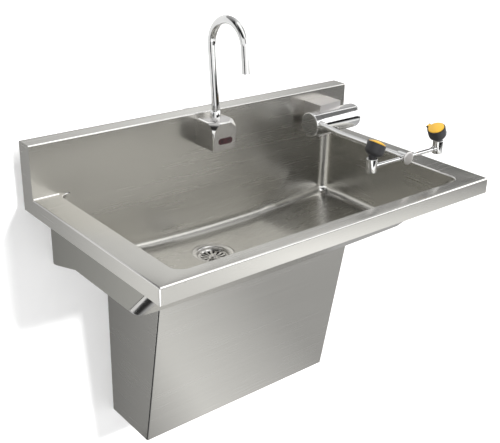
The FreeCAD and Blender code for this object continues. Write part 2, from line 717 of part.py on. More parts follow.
def make_control_lid():
    x0, x1 = CONTROL_X
    z0, z1 = CONTROL_Z
    lid = block(x0, x1, CONTROL_Y[0], CONTROL_Y[0] + LID_T, z0, z1)
    return lid.makeFillet(4, edges_where(lid, lambda e, b: b.YLength > 1 and b.XLength < 0.1))


def make_valve_line():
    """Mixed water to the control box."""
    x = MIXED_X[0]
    y = STOP_OUT_Y
    path = [V(x, y, VALVE_PORT_TOP), V(x, y, CONTROL_INLET_Z), V(CONTROL_X[0], y, CONTROL_INLET_Z)]
    return bent(path, 18.0, LINE_R, LINE_R - 1)


def make_faucet_line():
    """From the control box up behind the bowl to the faucet's inlet."""
    x = CONTROL_X[0] + 30
    y = FAUCET_LINE_Y
    end = FAUCET_PORT_Z - PORT_DROP
    turn = FAUCET_LINE_TURN_Z
    path = [V(x, y, CONTROL_Z[1]), V(x, y, turn), V(0, y, turn), V(0, y, end)]
    return bent(path, 20.0, LINE_R, LINE_R - 1)


def make_eyewash_line():
    """Mixed water up behind the bowl to the eyewash's inlet."""
    x = MIXED_X[1]
    y = EYE_LINE_Y
    turn = EYE_LINE_TURN_Z
    lower = [V(x, STOP_OUT_Y, VALVE_PORT_TOP), V(x, STOP_OUT_Y, -300), V(x, y, -262)]
    upper = [V(x, y, turn), V(EYE_PORT_X, y, turn), V(EYE_PORT_X, y, BARREL_Z - PORT_DROP)]
    return bent(lower + upper, 22.0, EYE_LINE_R, EYE_LINE_R - 1.2)


def make_cable_gland():
    """Gland for the sensor's cable, which is itself left to the installer."""
    middle = V(CABLE_X, CABLE_Y, CABLE_Z)
    gland = rod(V(CABLE_X, -SPLASH_D, CABLE_Z), middle + AY * 4, CABLE_GLAND_R)
    return gland.fuse(rod(middle, middle - AZ * 10, 3.8)).removeSplitter()


# ---------------------------------------------------------------- eyewash
def barrel_axis(x):
    return V(x, BARREL_Y, BARREL_Z)


def make_barrel():
    """Fixed part of the valve barrel, bored for the stem and the valve's ball."""
    x0 = BARREL_X[0] + GAP
    x1 = BARREL_X[1] - CAP_W
    barrel = rod(barrel_axis(x0), barrel_axis(x1), BARREL_R)
    barrel = barrel.cut(rod(barrel_axis(x0 - 1), barrel_axis(CHAMBER[1]), STEM_R + RUN))
    barrel = barrel.cut(rod(barrel_axis(CHAMBER[0]), barrel_axis(CHAMBER[1]), BALL_R + 1))
    return barrel.cut(rod(V(EYE_PORT_X, BARREL_Y, BARREL_Z), V(EYE_PORT_X, -SPLASH_D, BARREL_Z), 7.0))


def make_barrel_cap():
    cap = rod(barrel_axis(BARREL_X[1] - CAP_W), barrel_axis(BARREL_X[1]), BARREL_R)
    return cap.makeFillet(CAP_EASE, edges_where(cap, lambda e, b: b.XMin > BARREL_X[1] - 1))


def make_eyewash_block():
    """Mounting block on the splash; the barrel lies in its front."""
    z0, z1 = BLOCK_Z
    x0 = BARREL_X[0] + GAP
    front = -SPLASH_D - BLOCK_D
    left = ((x0, -SPLASH_D), (x0, front))
    right = ((BLOCK_RIGHT, front + BLOCK_TAPER), (BLOCK_RIGHT, -SPLASH_D))
    solid = prism([V(x, y, z0) for x, y in left + right], V(0, 0, z1 - z0))
    solid = solid.cut(rod(barrel_axis(BARREL_X[0]), barrel_axis(BLOCK_RIGHT + 1), BARREL_R))
    return solid.cut(rod(V(EYE_PORT_X, BARREL_Y, BARREL_Z), V(EYE_PORT_X, -SPLASH_D + 1, BARREL_Z), 7.0))


def arm_path():
    """Start in the hub, middle of the long bend, and end in the tee."""
    start = V(ARM_X, BARREL_Y - BARREL_R + 8, BARREL_Z + ARM_RISE)
    knee = V(ARM_X, BARREL_Y - BARREL_R - ARM_KNEE, TEE_Z)
    return start, knee, V(ARM_X, HEAD_Y + 14, TEE_Z)


def make_hub():
    """Left end of the barrel, which turns with the arm, and the collar that grips the arm."""
    x0 = BARREL_X[0] - HUB_W
    hub = rod(barrel_axis(x0), barrel_axis(BARREL_X[0]), BARREL_R - 0.4)
    hub = hub.makeFillet(3.0, edges_where(hub, lambda e, b: b.XMax < x0 + 1))
    start, knee, end = arm_path()
    collar = rod(start, start + (knee - start).normalize() * 20, ARM_R + 2.4)
    clear = rod(barrel_axis(BARREL_X[0]), barrel_axis(BARREL_X[1]), BARREL_R + GAP)
    hub = hub.fuse(collar.cut(clear))
    return hub.cut(rod(start, knee, ARM_R)).removeSplitter()


def make_valve_stem():
    """Stem from the hub to the valve's ball, which is bored through."""
    x0 = BARREL_X[0]
    middle = (CHAMBER[0] + CHAMBER[1]) / 2
    ball = Part.makeSphere(BALL_R, barrel_axis(middle))
    stem = rod(barrel_axis(x0), barrel_axis(middle), STEM_R).fuse(ball)
    return stem.cut(rod(V(middle, BARREL_Y - 20, BARREL_Z), V(middle, BARREL_Y + 20, BARREL_Z), 6.0))


def make_arm():
    return bent(arm_path(), ARM_BEND_R, ARM_R, ARM_R - WALL_TUBE)


def make_tee():
    """Tee at the arm's end: arm from behind, a cross tube on each side, a plug in front."""
    tee = V(ARM_X, HEAD_Y, TEE_Z)
    body = rod(tee - AY * (BOSS_R + 0.5), tee + AY * 22, TEE_R)
    body = body.fuse(rod(tee - AX * 22, tee + AX * 22, BOSS_R))
    body = body.cut(rod(tee + AY * 14, tee + AY * 30, ARM_R))
    for side in (-1, 1):
        body = body.cut(rod(tee + AX * (12 * side), tee + AX * (30 * side), CROSS_R))
    return body.removeSplitter()


def make_tee_plug():
    """Shallow domed plug that closes the front of the tee."""
    foot = V(ARM_X, HEAD_Y - BOSS_R - 0.5, TEE_Z)
    profile = [(0, 0), (TEE_R, 0), (PLUG_R, 1), (PLUG_R, 2.2), (PLUG_R - 2.5, 4), (PLUG_R - 9, 5), (0, 5.2)]
    return turned(profile, foot, AY * -1)


def socket_top(side):
    """Top of a socket's axis; side is -1 for the left head and 1 for the right one."""
    return V(ARM_X + side * HEAD_SPREAD, HEAD_Y, TEE_Z + SOCKET_RISE)


def make_cross_tube(side):
    tee = V(ARM_X, HEAD_Y, TEE_Z)
    inner = tee + AX * (side * 12)
    outer = tee + AX * (side * (HEAD_SPREAD - 9))
    return ring(inner, outer, CROSS_R, CROSS_R - 1.2)


def make_socket(side):
    """Upright socket that carries one head, with a boss for the cross tube."""
    top = socket_top(side)
    socket = rod(top - AZ * SOCKET_H, top, SOCKET_R)
    socket = socket.makeFillet(1.5, edges_where(socket, lambda e, b: b.ZLength < 0.1))
    tee = V(ARM_X, HEAD_Y, TEE_Z)
    boss = rod(tee + AX * (side * (HEAD_SPREAD - 20)), tee + AX * (side * HEAD_SPREAD), BOSS_R)
    socket = socket.fuse(boss)
    socket = socket.cut(rod(tee, tee + AX * (side * (HEAD_SPREAD - 9)), CROSS_R))
    return socket.cut(rod(top - AZ * NECK_IN, top + AZ, NECK_R)).removeSplitter()


def placed(shape, side):
    """Put a head's piece, made upright at the origin, on its leaning axis."""
    shape.rotate(V(0, 0, 0), AY, -side * HEAD_TILT)
    shape.translate(socket_top(side) + AZ * HEAD_RISE)
    return shape


def make_cup(side):
    """Spray head: upright neck, elbow, and a leaning cup with two ears for the cover's pin."""
    profile = [
        (0, 0),
        (NECK_R, 0),
        (NECK_R + 5, 1),
        (CUP_R - 5, 4),
        (CUP_R - 1.5, 8.5),
        (CUP_R, 14),
        (CUP_R, RIM_W - 1),
        (CUP_R - 0.8, RIM_W),
        (CUP_R - 2.2, RIM_W),
        (CUP_R - 2.2, RIM_W - CUP_DISH),
        (0, RIM_W - CUP_DISH),
    ]
    cup = turned(profile)
    for x0, x1 in ((-EAR_OUT, -EAR_IN), (EAR_IN, EAR_OUT)):
        ear = block(x0, x1, CUP_R - 2, PIN_V, PIN_W - 9, PIN_W)
        ear = ear.fuse(rod(V(x0, PIN_V, PIN_W), V(x1, PIN_V, PIN_W), KNUCKLE_R))
        ear = ear.cut(block(x0 - 1, x1 + 1, 0, CUP_R + 0.5, RIM_W, 99))
        cup = cup.fuse(ear)
    cup = cup.cut(rod(V(-EAR_OUT - 1, PIN_V, PIN_W), V(EAR_OUT + 1, PIN_V, PIN_W), PIN_R))
    cup = placed(cup, side)
    top = socket_top(side)
    elbow = Part.makeSphere(NECK_R + 1, top + AZ * HEAD_RISE)
    neck = rod(top - AZ * NECK_IN, top + AZ * HEAD_RISE, NECK_R)
    return cup.fuse([elbow, neck]).removeSplitter()


def make_spray_face(side):
    """Disc with a ring of spray holes, let into the cup."""
    foot = RIM_W - CUP_DISH
    disc = rod(V(0, 0, foot), V(0, 0, foot + 4), CUP_R - 2.2)
    holes = []
    for turn in range(8):
        at = FreeCAD.Rotation(AZ, 45 * turn).multVec(V(12, 0, foot))
        holes.append(rod(at, at + V(0, 0, 4), 1.4))
    return placed(disc.cut(holes), side)


def make_cover(side):
    """Crowned flip-top dust cover with a tongue that turns on the pin."""
    crown_r = (COVER_R**2 + COVER_CROWN**2) / (2 * COVER_CROWN)
    dome = Part.makeSphere(crown_r, V(0, 0, COVER_W + 1.6 + COVER_CROWN - crown_r))
    cover = rod(V(0, 0, COVER_W), V(0, 0, COVER_W + 1.6), COVER_R)
    cover = cover.fuse(dome.common(rod(V(0, 0, COVER_W + 1.6), V(0, 0, COVER_W + 9), COVER_R)))
    reach = EAR_IN - GAP
    tongue = block(-reach, reach, COVER_R - 3, PIN_V, COVER_W, COVER_W + 2.4)
    knuckle = rod(V(-reach, PIN_V, PIN_W), V(reach, PIN_V, PIN_W), KNUCKLE_R)
    cover = cover.fuse([tongue, knuckle])
    cover = cover.cut(rod(V(-reach - 1, PIN_V, PIN_W), V(reach + 1, PIN_V, PIN_W), PIN_R + RUN))
    return placed(cover.removeSplitter(), side)


def make_pin(side):
    return placed(rod(V(-EAR_OUT, PIN_V, PIN_W), V(EAR_OUT, PIN_V, PIN_W), PIN_R), side)


# ---------------------------------------------------------------- the pieces
parts["deck"] = make_deck()
parts["splash"] = make_splash()
parts["splash_end_left"] = make_splash_end()
parts["splash_end_right"] = mirrored(parts["splash_end_left"])
parts["bowl"] = make_bowl()
parts["bracket_left"] = make_bracket()
parts["bracket_right"] = mirrored(parts["bracket_left"])
parts["wall_rail"] = make_wall_rail()
parts["skirt"] = make_skirt()

parts["drain_flange"] = make_drain_flange()
parts["drain_gasket"] = make_drain_gasket()
parts["drain_locknut"] = make_drain_locknut()
parts["basket_strainer"] = make_basket()
parts["tailpiece"] = make_tailpiece()
parts["slip_nuts"] = make_slip_nuts()
parts["trap_bend"] = make_trap()
parts["trap_arm"] = make_trap_arm()

parts["faucet_housing"] = make_housing()
parts["sensor_window"] = window_solid(WINDOW_T, 0)
parts["spout_collar"] = make_spout_collar()
parts["spout"] = make_spout()
parts["spout_outlet"] = make_outlet_insert()
parts["faucet_shank"] = shank(0, FAUCET_LINE_Y + 8, FAUCET_PORT_Z, FAUCET_LINE_Y)
parts["faucet_locknut"] = locknut(0, FAUCET_PORT_Z)
parts["cable_gland"] = make_cable_gland()

for name, x, side in (("hot", STOP_X[0], -1), ("cold", STOP_X[1], 1)):
    parts["stop_" + name] = make_stop(x)
    parts["stop_handle_" + name] = make_stop_handle(x)
    parts["riser_" + name] = make_riser(x, side)
parts["mixing_valve"] = make_mixing_valve()
parts["control_box"] = make_control_box()
parts["control_lid"] = make_control_lid()
parts["valve_line"] = make_valve_line()
parts["faucet_line"] = make_faucet_line()
parts["eyewash_line"] = make_eyewash_line()

parts["eyewash_block"] = make_eyewash_block()
parts["eyewash_barrel"] = make_barrel()
parts["barrel_cap"] = make_barrel_cap()
parts["eyewash_shank"] = shank(EYE_PORT_X, EYE_LINE_Y + 8, BARREL_Z, EYE_LINE_Y)
parts["eyewash_locknut"] = locknut(EYE_PORT_X, BARREL_Z)
parts["swing_hub"] = make_hub()
parts["valve_stem"] = make_valve_stem()
parts["arm_tube"] = make_arm()
parts["arm_tee"] = make_tee()
parts["tee_plug"] = make_tee_plug()
for name, side in (("left", -1), ("right", 1)):
    parts["cross_tube_" + name] = make_cross_tube(side)
    parts["socket_" + name] = make_socket(side)
    parts["cup_" + name] = make_cup(side)
    parts["spray_face_" + name] = make_spray_face(side)
    parts["cover_" + name] = make_cover(side)
    parts["hinge_pin_" + name] = make_pin(side)

os.makedirs("parts", exist_ok=True)
for node, shape in parts.items():
    shape.exportStep("parts/" + node + ".step")
    solids = len(shape.Solids)
    print(node, "solids", solids, "valid", shape.isValid(), "volume", round(shape.Volume / 1000, 2), "cm3")
print(len(parts), "nodes")
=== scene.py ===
import math

import bmesh
import bpy
from mathutils import Matrix, Vector


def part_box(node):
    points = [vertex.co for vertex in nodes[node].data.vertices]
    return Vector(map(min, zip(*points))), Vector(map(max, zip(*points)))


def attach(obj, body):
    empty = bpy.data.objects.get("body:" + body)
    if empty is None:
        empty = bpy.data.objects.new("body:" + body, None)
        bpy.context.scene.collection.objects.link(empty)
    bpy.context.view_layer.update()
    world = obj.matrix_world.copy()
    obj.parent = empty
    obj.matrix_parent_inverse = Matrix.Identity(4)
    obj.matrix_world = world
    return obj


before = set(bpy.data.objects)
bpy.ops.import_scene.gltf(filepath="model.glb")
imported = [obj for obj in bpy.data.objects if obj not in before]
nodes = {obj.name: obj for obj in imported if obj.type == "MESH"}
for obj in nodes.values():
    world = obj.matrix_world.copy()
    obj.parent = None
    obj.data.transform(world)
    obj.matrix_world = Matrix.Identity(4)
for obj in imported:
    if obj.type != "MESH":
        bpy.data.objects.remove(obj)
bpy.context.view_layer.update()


class Shade:
    """One socket of a material's nodes, on which + - * and ** work as shader maths."""

    def __init__(self, tree, socket=None):
        self.tree = tree
        self.socket = socket

    def node(self, kind, *inputs, out=0, stops=(), **settings):
        """Adds a node: its settings and ramp stops first, then (socket, value or link) pairs."""
        made = self.tree.nodes.new(kind)
        for name, value in settings.items():
            setattr(made, name, value)
        if stops:
            ramp = made.color_ramp.elements
            ramp.remove(ramp[0])
            ramp[0].position, ramp[0].color = stops[0]
            for place, colour in stops[1:]:
                ramp.new(place).color = colour
        for socket, value in inputs:
            if isinstance(value, Shade):
                self.tree.links.new(value.socket, made.inputs[socket])
            else:
                made.inputs[socket].default_value = value
        return Shade(self.tree, made.outputs[out]) if made.outputs else self

    def output(self, name):
        """Another output of the node that this socket belongs to."""
        return Shade(self.tree, self.socket.node.outputs[name])

    def maths(self, operation, *others):
        """A Math node on this value and the others."""
        return self.node("ShaderNodeMath", *enumerate((self, *others)), operation=operation)

    def size(self):
        return self.maths("ABSOLUTE")

    def greater(self, other):
        return self.maths("MAXIMUM", other)

    def mix(self, factor, first, second):
        """A colour between first and second."""
        pairs = ((0, factor), (6, first), (7, second))
        return self.node("ShaderNodeMix", *pairs, out=2, data_type="RGBA")

    def noise(self, stretch, scale, detail=2.0):
        """Noise from 0 to 1 on this vector, drawn out along the axis whose stretch is small."""
        where = self.node("ShaderNodeMapping", (0, self), (3, stretch), vector_type="POINT")
        settings = ((0, where), ("Scale", scale), ("Detail", detail))
        return self.node("ShaderNodeTexNoise", *settings)

    def between(self, low, high):
        """0 where this value is low and 1 where it is high, with a smooth step."""
        pairs = ((0, self), (1, low), (2, high))
        return self.node("ShaderNodeMapRange", *pairs, interpolation_type="SMOOTHSTEP")

    def __add__(self, other):
        return self.maths("ADD", other)

    def __mul__(self, other):
        return self.maths("MULTIPLY", other)

    def __sub__(self, other):
        return self.maths("SUBTRACT", other)

    def __rsub__(self, other):
        return self.node("ShaderNodeMath", (0, other), (1, self), operation="SUBTRACT")

    def __pow__(self, other):
        return self.maths("POWER", other)

    __radd__ = __add__
    __rmul__ = __mul__


def start_material(name, metallic, roughness, colour):
    """A material with one Principled shader; returns the material, that shader and a Shade."""
    material = bpy.data.materials.new(name)
    material.use_nodes = True
    surface = material.node_tree.nodes["Principled BSDF"]
    surface.inputs["Metallic"].default_value = metallic
    surface.inputs["Roughness"].default_value = roughness
    surface.inputs["Base Color"].default_value = (*colour, 1.0)
    return material, surface, Shade(material.node_tree)


def feed(surface, shade, socket):
    shade.tree.links.new(shade.socket, surface.inputs[socket])


def bump(surface, height, strength, distance):
    pairs = (("Height", height), ("Strength", strength), ("Distance", distance))
    feed(surface, height.node("ShaderNodeBump", *pairs), "Normal")


def mottle(surface, spots, dark, light, roughness, spread):
    """Lets a noise vary the colour from dark to light and add up to spread to the roughness."""
    feed(surface, spots.mix(spots, (*dark, 1.0), (*light, 1.0)), "Base Color")
    feed(surface, roughness + spots * spread, "Roughness")


def object_place(shade):
    return shade.node("ShaderNodeTexCoord", out="Object")


def brushed_steel(name, colour, roughness, streaks=1.0, bends=None):
    """Brushed metal: grain along X, and along Y on the faces that look along X.

    Its bends get a painted highlight, a near white colour, and a lower roughness where bends is
    "all", for a box-shaped sheet, or "upright", for one whose flat faces lean.
    """
    fine, coarse = 700.0, 70.0
    fine_length, coarse_length = 6.0, 1.3
    material, surface, shade = start_material(name, 1.0, roughness, colour)
    place = object_place(shade)
    facing = shade.node("ShaderNodeTexCoord", out="Normal")
    parted = shade.node("ShaderNodeSeparateXYZ", (0, facing))
    x, y, z = (parted.output(axis).size() for axis in "XYZ")
    sideways = x.between(0.5, 0.8)
    along = place.noise((fine_length, fine, fine), 1.0)
    across = place.noise((fine, fine_length, fine), 1.0)
    grain = along + sideways * (across - along)
    wide_along = place.noise((coarse_length, coarse, coarse), 1.0, 4.0)
    wide_across = place.noise((coarse, coarse_length, coarse), 1.0, 4.0)
    wide = wide_along + sideways * (wide_across - wide_along)
    clouds = place.noise((0.6, 1.0, 1.0), 6.0, 3.0)
    rough = (grain - 0.5) * 0.05 + (wide - 0.5) * 0.05
    dark = tuple(c * 0.91 for c in colour)
    light = tuple(min(1.0, c * 1.05) for c in colour)
    streaky = (grain - 0.5) * 0.5 + (wide - 0.5) * 0.5
    tone = streaky * streaks + (clouds - 0.5) * 0.4 + 0.5
    tint = shade.mix(tone, (*dark, 1.0), (*light, 1.0))
    dull = roughness + rough * streaks + (clouds - 0.5) * 0.05
    if bends:
        if bends == "all":
            turn = (x * y).greater((y * z).greater(x * z))
        else:
            turn = x * (1 - x * x) ** 0.5
        # Painted highlight: where this mask is high, along the bends, the colour is made near white
        # and the roughness lower.
        bend_highlight = (turn * 2).between(0.3, 0.9)
        tint = shade.mix(bend_highlight, tint, (0.93, 0.92, 0.90, 1))
        dull = dull - bend_highlight * 0.08
    feed(surface, tint, "Base Color")
    feed(surface, dull, "Roughness")
    return material


def smooth(node, material, angle=32.0):
    """A CAD node's finish: its material, and shading that is smooth over its curved faces."""
    piece = nodes[node]
    piece.data.materials.clear()
    piece.data.materials.append(material)
    for polygon in piece.data.polygons:
        polygon.use_smooth = True
    weld = piece.modifiers.new("weld", "WELD")
    weld.merge_threshold = 0.00001
    split = piece.modifiers.new("edges", "EDGE_SPLIT")
    split.split_angle = math.radians(angle)


steel = (0.61, 0.60, 0.565)
folded = brushed_steel("folded_stainless", steel, 0.26, bends="all")
for node in ("deck", "splash", "splash_end_left", "splash_end_right"):
    smooth(node, folded)
pressed = brushed_steel("pressed_stainless", steel, 0.26, bends="upright")
for node in ("bowl", "skirt"):
    smooth(node, pressed)

# ---- Side brackets and wall rail
# Thicker stainless plate, mill finished and duller than the sheet above it.
mill = brushed_steel("mill_stainless", (0.46, 0.455, 0.42), 0.40, 0.6)
for node in ("bracket_left", "bracket_right", "wall_rail"):
    smooth(node, mill)


# ---- Wall anchors
# Plated hexagon bolts with washers, two through the rail and four through the brackets.
def new_piece(name, mesh, material, body):
    """Makes a bmesh into an object at the origin that rides on a body."""
    data = bpy.data.meshes.new(name)
    mesh.to_mesh(data)
    mesh.free()
    data.materials.append(material)
    piece = bpy.data.objects.new(name, data)
    bpy.context.scene.collection.objects.link(piece)
    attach(piece, body)


def cylinder(mesh, foot, way, length, radius, sides):
    """Adds a closed cylinder to a bmesh, from foot along way; returns its vertices."""
    turn = Vector((0, 0, 1)).rotation_difference(Vector(way)).to_matrix().to_4x4()
    middle = Vector(foot) + Vector(way).normalized() * (length / 2)
    made = bmesh.ops.create_cone(
        mesh,
        cap_ends=True,
        segments=sides,
        radius1=radius,
        radius2=radius,
        depth=length,
        matrix=Matrix.Translation(middle) @ turn,
    )
    return made["verts"]


def ease(mesh, verts, offset, segments=2):
    """Rounds the edges between the end and the side faces of a cylinder just added."""
    edges = {e for v in verts for e in v.link_edges if e.calc_face_angle(0) > 0.8}
    bmesh.ops.bevel(
        mesh,
        geom=list(edges),
        affect="EDGES",
        offset=offset,
        segments=segments,
        profile=0.5,
        material=-1,
    )


zinc, zinc_surface, shade = start_material("zinc_plate", 1.0, 0.35, (0.62, 0.62, 0.60))
spots = object_place(shade).noise((1.0, 1.0, 1.0), 400.0, 3.0)
feed(zinc_surface, 0.28 + spots * 0.2, "Roughness")

forward = (0, -1, 0)
plate_face = -0.003
bolt_x = 0.424
bolt_heights = (0.072, -0.072, -0.170)
washer_thickness = 0.0018
anchors = bmesh.new()
for x in (-bolt_x, bolt_x):
    for z in bolt_heights:
        foot = (x, plate_face, z)
        ease(anchors, cylinder(anchors, foot, forward, washer_thickness, 0.0105, 32), 0.0004)
        head = (x, plate_face - washer_thickness, z)
        cylinder(anchors, head, forward, 0.006, 0.0082, 6)
new_piece("wall_anchor_bolts", anchors, zinc, "fixture")

# ---- Shroud screws
# Small pan-head screws through the shroud's inward flanges into wall plugs.
flange_face = -0.0015
skirt_low, skirt_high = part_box("skirt")
screw_in = 0.011
screw_heights = (-0.640, -0.290)
screws = bmesh.new()
for x in (skirt_low[0] + screw_in, skirt_high[0] - screw_in):
    for z in screw_heights:
        head = cylinder(screws, (x, flange_face, z), forward, 0.0025, 0.0055, 24)
        ease(screws, head, 0.0012, 3)
new_piece("shroud_screws", screws, zinc, "fixture")

# ---- Drain
# Pressed and polished flange with its cup and outlet, a rubber gasket and a brass locknut under
# the bowl, and a lift-out basket of the same polished steel.
basket_low, basket_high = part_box("basket_strainer")
basket_x = (basket_low[0] + basket_high[0]) / 2
basket_y = (basket_low[1] + basket_high[1]) / 2
basket_top = basket_high[2]
slots = 14
drain_finish, drain_surface, shade = start_material("drain_steel", 1.0, 0.14, (0.72, 0.71, 0.69))
place = object_place(shade)
stain = place.noise((1.0, 1.0, 1.0), 160.0, 4.0)
parted = shade.node("ShaderNodeSeparateXYZ", (0, place))
# Painted shade: more than about a centimetre below the basket's top, the flange's cup is painted
# almost black and made rougher.
depth = parted.output("Z").between(basket_top - 0.007, basket_top - 0.012)
bright = shade.mix(stain, (0.64, 0.63, 0.61, 1), (0.80, 0.79, 0.77, 1))
feed(drain_surface, shade.mix(depth, bright, (0.05, 0.048, 0.045, 1)), "Base Color")
feed(drain_surface, 0.10 + stain * 0.10 + depth * 0.3, "Roughness")
basket_finish, basket_surface, shade = start_material("basket_steel", 1.0, 0.2, (0.75, 0.74, 0.72))
place = object_place(shade)
stain = place.noise((1.0, 1.0, 1.0), 260.0, 4.0)
parted = shade.node("ShaderNodeSeparateXYZ", (0, place))
across = parted.output("X") - basket_x
along = parted.output("Y") - basket_y
reach = (across * across + along * along) ** 0.5
# Painted shade: within the ring where the slots are cut, the steel along each slot's middle is
# painted almost black and made rougher.
ring = reach.between(0.011, 0.013) * reach.between(0.034, 0.032)
turns = along.maths("ARCTAN2", across) * slots
slot_shade = turns.maths("COSINE").between(-0.3, 0.3) * ring
unshaded_steel = shade.mix(stain, (0.62, 0.61, 0.59, 1), (0.86, 0.85, 0.83, 1))
feed(basket_surface, shade.mix(slot_shade, unshaded_steel, (0.06, 0.055, 0.05, 1)), "Base Color")
feed(basket_surface, 0.12 + stain * 0.12 + slot_shade * 0.3, "Roughness")
rubber, rubber_surface, shade = start_material("black_rubber", 0.0, 0.75, (0.035, 0.035, 0.036))
bump(rubber_surface, object_place(shade).noise((1.0, 1.0, 1.0), 900.0), 0.3, 0.0002)
brass, brass_surface, shade = start_material("cast_brass", 1.0, 0.32, (0.72, 0.55, 0.29))
patina = object_place(shade).noise((1.0, 1.0, 1.0), 60.0, 5.0)
mottle(brass_surface, patina, (0.56, 0.40, 0.19), (0.78, 0.62, 0.34), 0.24, 0.22)
bump(brass_surface, object_place(shade).noise((1.0, 1.0, 1.0), 700.0), 0.15, 0.0002)
smooth("drain_flange", drain_finish)
smooth("basket_strainer", basket_finish)
smooth("drain_gasket", rubber)
smooth("drain_locknut", brass)

# ---- Waste pipes
# Chrome-plated tube: tailpiece, trap and trap arm, joined by slip nuts.
plated, plated_surface, shade = start_material("plated_tube", 1.0, 0.12, (0.72, 0.72, 0.71))
film = object_place(shade).noise((1.0, 1.0, 1.0), 25.0, 4.0)
mottle(plated_surface, film, (0.64, 0.635, 0.62), (0.78, 0.78, 0.775), 0.07, 0.12)
for node in ("tailpiece", "slip_nuts", "trap_bend", "trap_arm"):
    smooth(node, plated)

# ---- Faucet
# Satin-plated die-cast sensor housing and a chrome-plated bent tube spout with a moulded outlet; a
# dark red lens covers the sensor. Brass shank and locknut hold it to the splash.
chrome, chrome_surface, shade = start_material("chrome", 1.0, 0.07, (0.80, 0.80, 0.795))
haze = object_place(shade).noise((1.0, 1.0, 1.0), 14.0, 4.0)
mottle(chrome_surface, haze, (0.76, 0.76, 0.75), (0.84, 0.84, 0.84), 0.045, 0.06)
moulded, moulded_surface, shade = start_material("grey_moulding", 0.0, 0.45, (0.43, 0.44, 0.45))
grit = object_place(shade).noise((1.0, 1.0, 1.0), 1200.0)
mottle(moulded_surface, grit, (0.40, 0.41, 0.42), (0.47, 0.48, 0.49), 0.38, 0.16)
bump(moulded_surface, grit, 0.2, 0.0002)
casting = brushed_steel("satin_casting", (0.55, 0.54, 0.53), 0.2, 0.4, "all")
smooth("faucet_housing", casting)
for node in ("spout_collar", "spout"):
    smooth(node, chrome)
for node in ("spout_outlet", "cable_gland"):
    smooth(node, moulded)
for node in ("faucet_shank", "faucet_locknut"):
    smooth(node, brass)

lens, lens_surface, shade = start_material("red_lens", 0.0, 0.10, (0.03, 0.008, 0.010))
lens_surface.inputs["Coat Weight"].default_value = 0.3
place = object_place(shade)
window_low, window_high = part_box("sensor_window")
window_z = (window_low[2] + window_high[2]) / 2
eye_spread = 0.011
eye_r = 0.0052
parted = shade.node("ShaderNodeSeparateXYZ", (0, place))
across = parted.size() - eye_spread
height = parted.output("Z") - window_z
eyes = ((across * across + height * height) ** 0.5).between(eye_r * 0.9, eye_r)
feed(lens_surface, shade.mix(eyes, (0.016, 0.006, 0.008, 1), (0.035, 0.008, 0.012, 1)), "Base Color")
smooth("sensor_window", lens)

# ---- Supplies
# Quarter-turn stops, a thermostatic mixing valve and copper tubes behind the shroud, with a
# moulded box for the sensor's control.
copper, copper_surface, shade = start_material("copper_tube", 1.0, 0.3, (0.72, 0.44, 0.31))
bloom = object_place(shade).noise((1.0, 1.0, 1.0), 30.0, 5.0)
mottle(copper_surface, bloom, (0.52, 0.28, 0.18), (0.80, 0.50, 0.36), 0.2, 0.25)
for node in ("stop_hot", "stop_cold", "stop_handle_hot", "stop_handle_cold"):
    smooth(node, chrome)
for node in ("riser_hot", "riser_cold", "valve_line", "faucet_line", "eyewash_line"):
    smooth(node, copper)
for node in ("mixing_valve", "eyewash_shank", "eyewash_locknut"):
    smooth(node, brass)
for node in ("control_box", "control_lid"):
    smooth(node, moulded)

# ---- Control lid screws
# Four pan-head screws in the corners of the control box's lid.
lid_low, lid_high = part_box("control_lid")
lid_in = 0.007
lid_screws = bmesh.new()
for x in (lid_low[0] + lid_in, lid_high[0] - lid_in):
    for z in (lid_low[2] + lid_in, lid_high[2] - lid_in):
        head = cylinder(lid_screws, (x, lid_low[1], z), forward, 0.0018, 0.0036, 20)
        ease(lid_screws, head, 0.0008, 3)
new_piece("lid_screws", lid_screws, zinc, "fixture")

# ---- Housing set screw
# A socket set screw under the housing, which clamps it to its shank.
housing_low, housing_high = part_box("faucet_housing")
set_y = (housing_low[1] + housing_high[1]) / 2
set_screw = bmesh.new()
cylinder(set_screw, (0, set_y, housing_low[2]), (0, 0, -1), 0.0007, 0.003, 24)
end = min(set_screw.faces, key=lambda face: face.calc_center_median().z)
bmesh.ops.inset_region(set_screw, faces=[end], thickness=0.0012)
hole = bmesh.ops.extrude_discrete_faces(set_screw, faces=[end])["faces"]
bmesh.ops.translate(set_screw, verts=list(hole[0].verts), vec=(0, 0, 0.0005))
new_piece("housing_set_screw", set_screw, zinc, "fixture")

# ---- Eyewash barrel and arm
# Chrome-plated brass, satin on the mounting block and the tee's plug: valve barrel, the hub that
# turns with the arm, the arm, its tee, the two cross tubes and the heads' sockets.
eyewash_chrome = ["eyewash_barrel", "barrel_cap", "swing_hub", "arm_tube", "arm_tee"]
for side in ("left", "right"):
    eyewash_chrome += ["cross_tube_" + side, "socket_" + side]
for node in eyewash_chrome:
    smooth(node, chrome)
satin_chrome = brushed_steel("satin_chrome", (0.72, 0.70, 0.69), 0.40, 0.3)
for node in ("eyewash_block", "tee_plug"):
    smooth(node, satin_chrome)
smooth("valve_stem", brass)

# ---- Spray heads
# Black moulded cups with a grey spray face, closed by amber flip-top covers on steel pins.
cup_black, cup_surface, shade = start_material("black_moulding", 0.0, 0.42, (0.022, 0.022, 0.024))
skin = object_place(shade).noise((1.0, 1.0, 1.0), 1500.0)
feed(cup_surface, 0.34 + skin * 0.16, "Roughness")
bump(cup_surface, skin, 0.2, 0.0002)
amber, amber_surface, shade = start_material("amber_moulding", 0.0, 0.35, (0.72, 0.41, 0.025))
skin = object_place(shade).noise((1.0, 1.0, 1.0), 800.0)
mottle(amber_surface, skin, (0.68, 0.37, 0.02), (0.76, 0.44, 0.03), 0.28, 0.14)
polished = brushed_steel("polished_steel", (0.70, 0.69, 0.67), 0.16, 0.35)
for side in ("left", "right"):
    smooth("cup_" + side, cup_black)
    smooth("spray_face_" + side, moulded)
    smooth("cover_" + side, amber)
    smooth("hinge_pin_" + side, polished)


